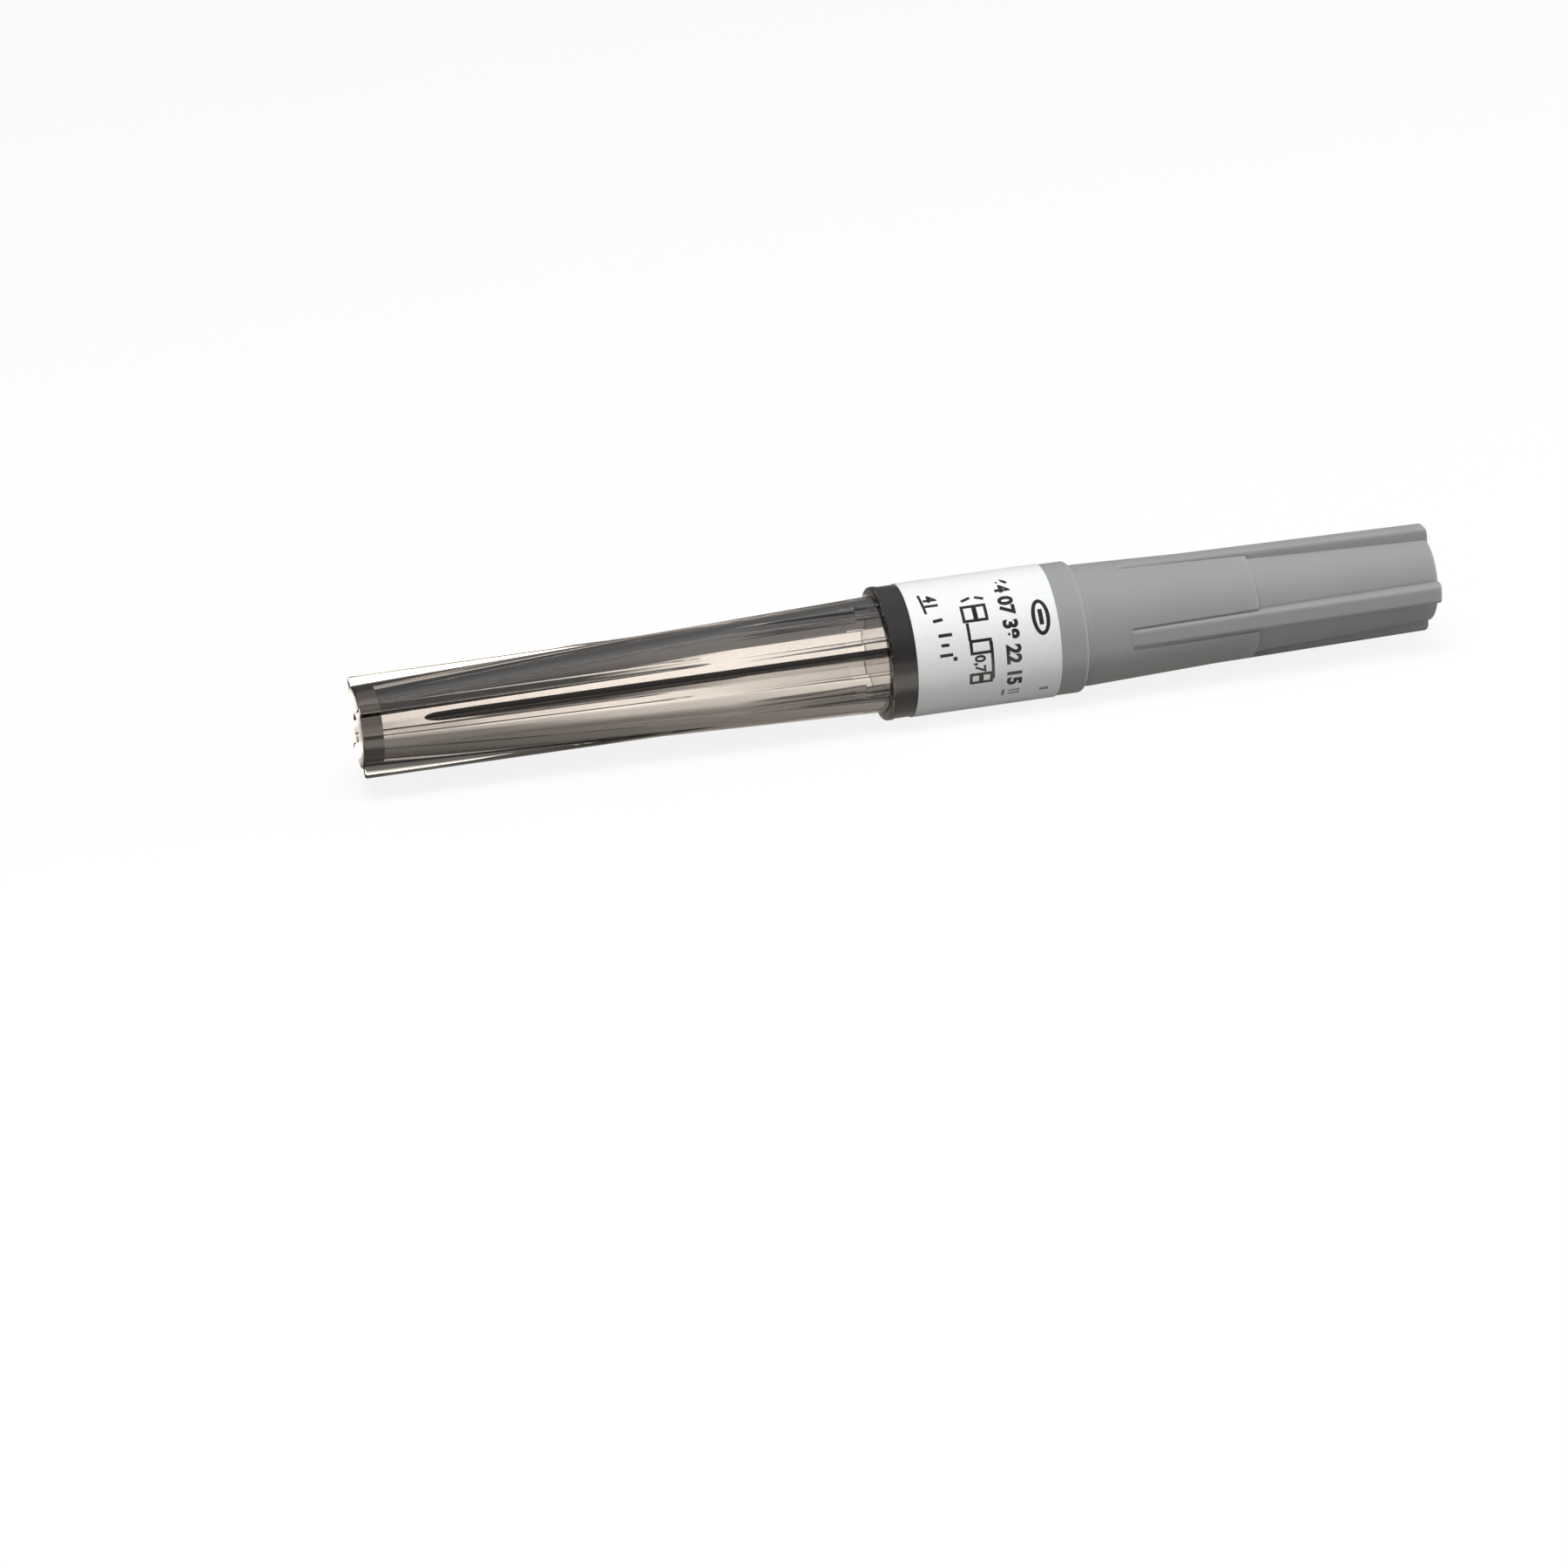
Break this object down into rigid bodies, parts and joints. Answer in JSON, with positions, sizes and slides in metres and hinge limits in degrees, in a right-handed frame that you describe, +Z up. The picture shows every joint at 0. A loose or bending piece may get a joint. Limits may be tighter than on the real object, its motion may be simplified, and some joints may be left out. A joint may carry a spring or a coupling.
{
  "type": "cased blood collection needle",
  "caption": "Slim sealed case holding a double-ended blood sampling needle: smoky clear finned front shield, opaque grey finned rear cap, paper label glued round the joint.",
  "frame": {"origin": "under the middle of the case's length, on the surface that it lies on", "axes": "+X along the needle's axis from the shield's closed tip to the cap's flat end, +Z up from the surface, with the cap's fins on Y and Z"},
  "size_m": [0.083, 0.0102, 0.0102],
  "materials": {
    "smoky_polystyrene": "clear moulded, smoky brown-grey tint",
    "grey_polypropylene": "moulded, soft satin",
    "label_paper": "smooth coated white paper",
    "hub_polypropylene": "moulded, natural translucent",
    "epoxy": "cured adhesive, olive beige",
    "stainless_tube": "drawn and polished",
    "sleeve_rubber": "moulded, satin"
  },
  "bodies": {
    "root": {"front_shield": "smoky_polystyrene", "rear_cap": "grey_polypropylene", "seal_label": "label_paper", "needle_hub": "hub_polypropylene", "hub_adhesive": "epoxy", "cannula": "stainless_tube", "rubber_sleeve": "sleeve_rubber"}
  },
  "joints": []
}
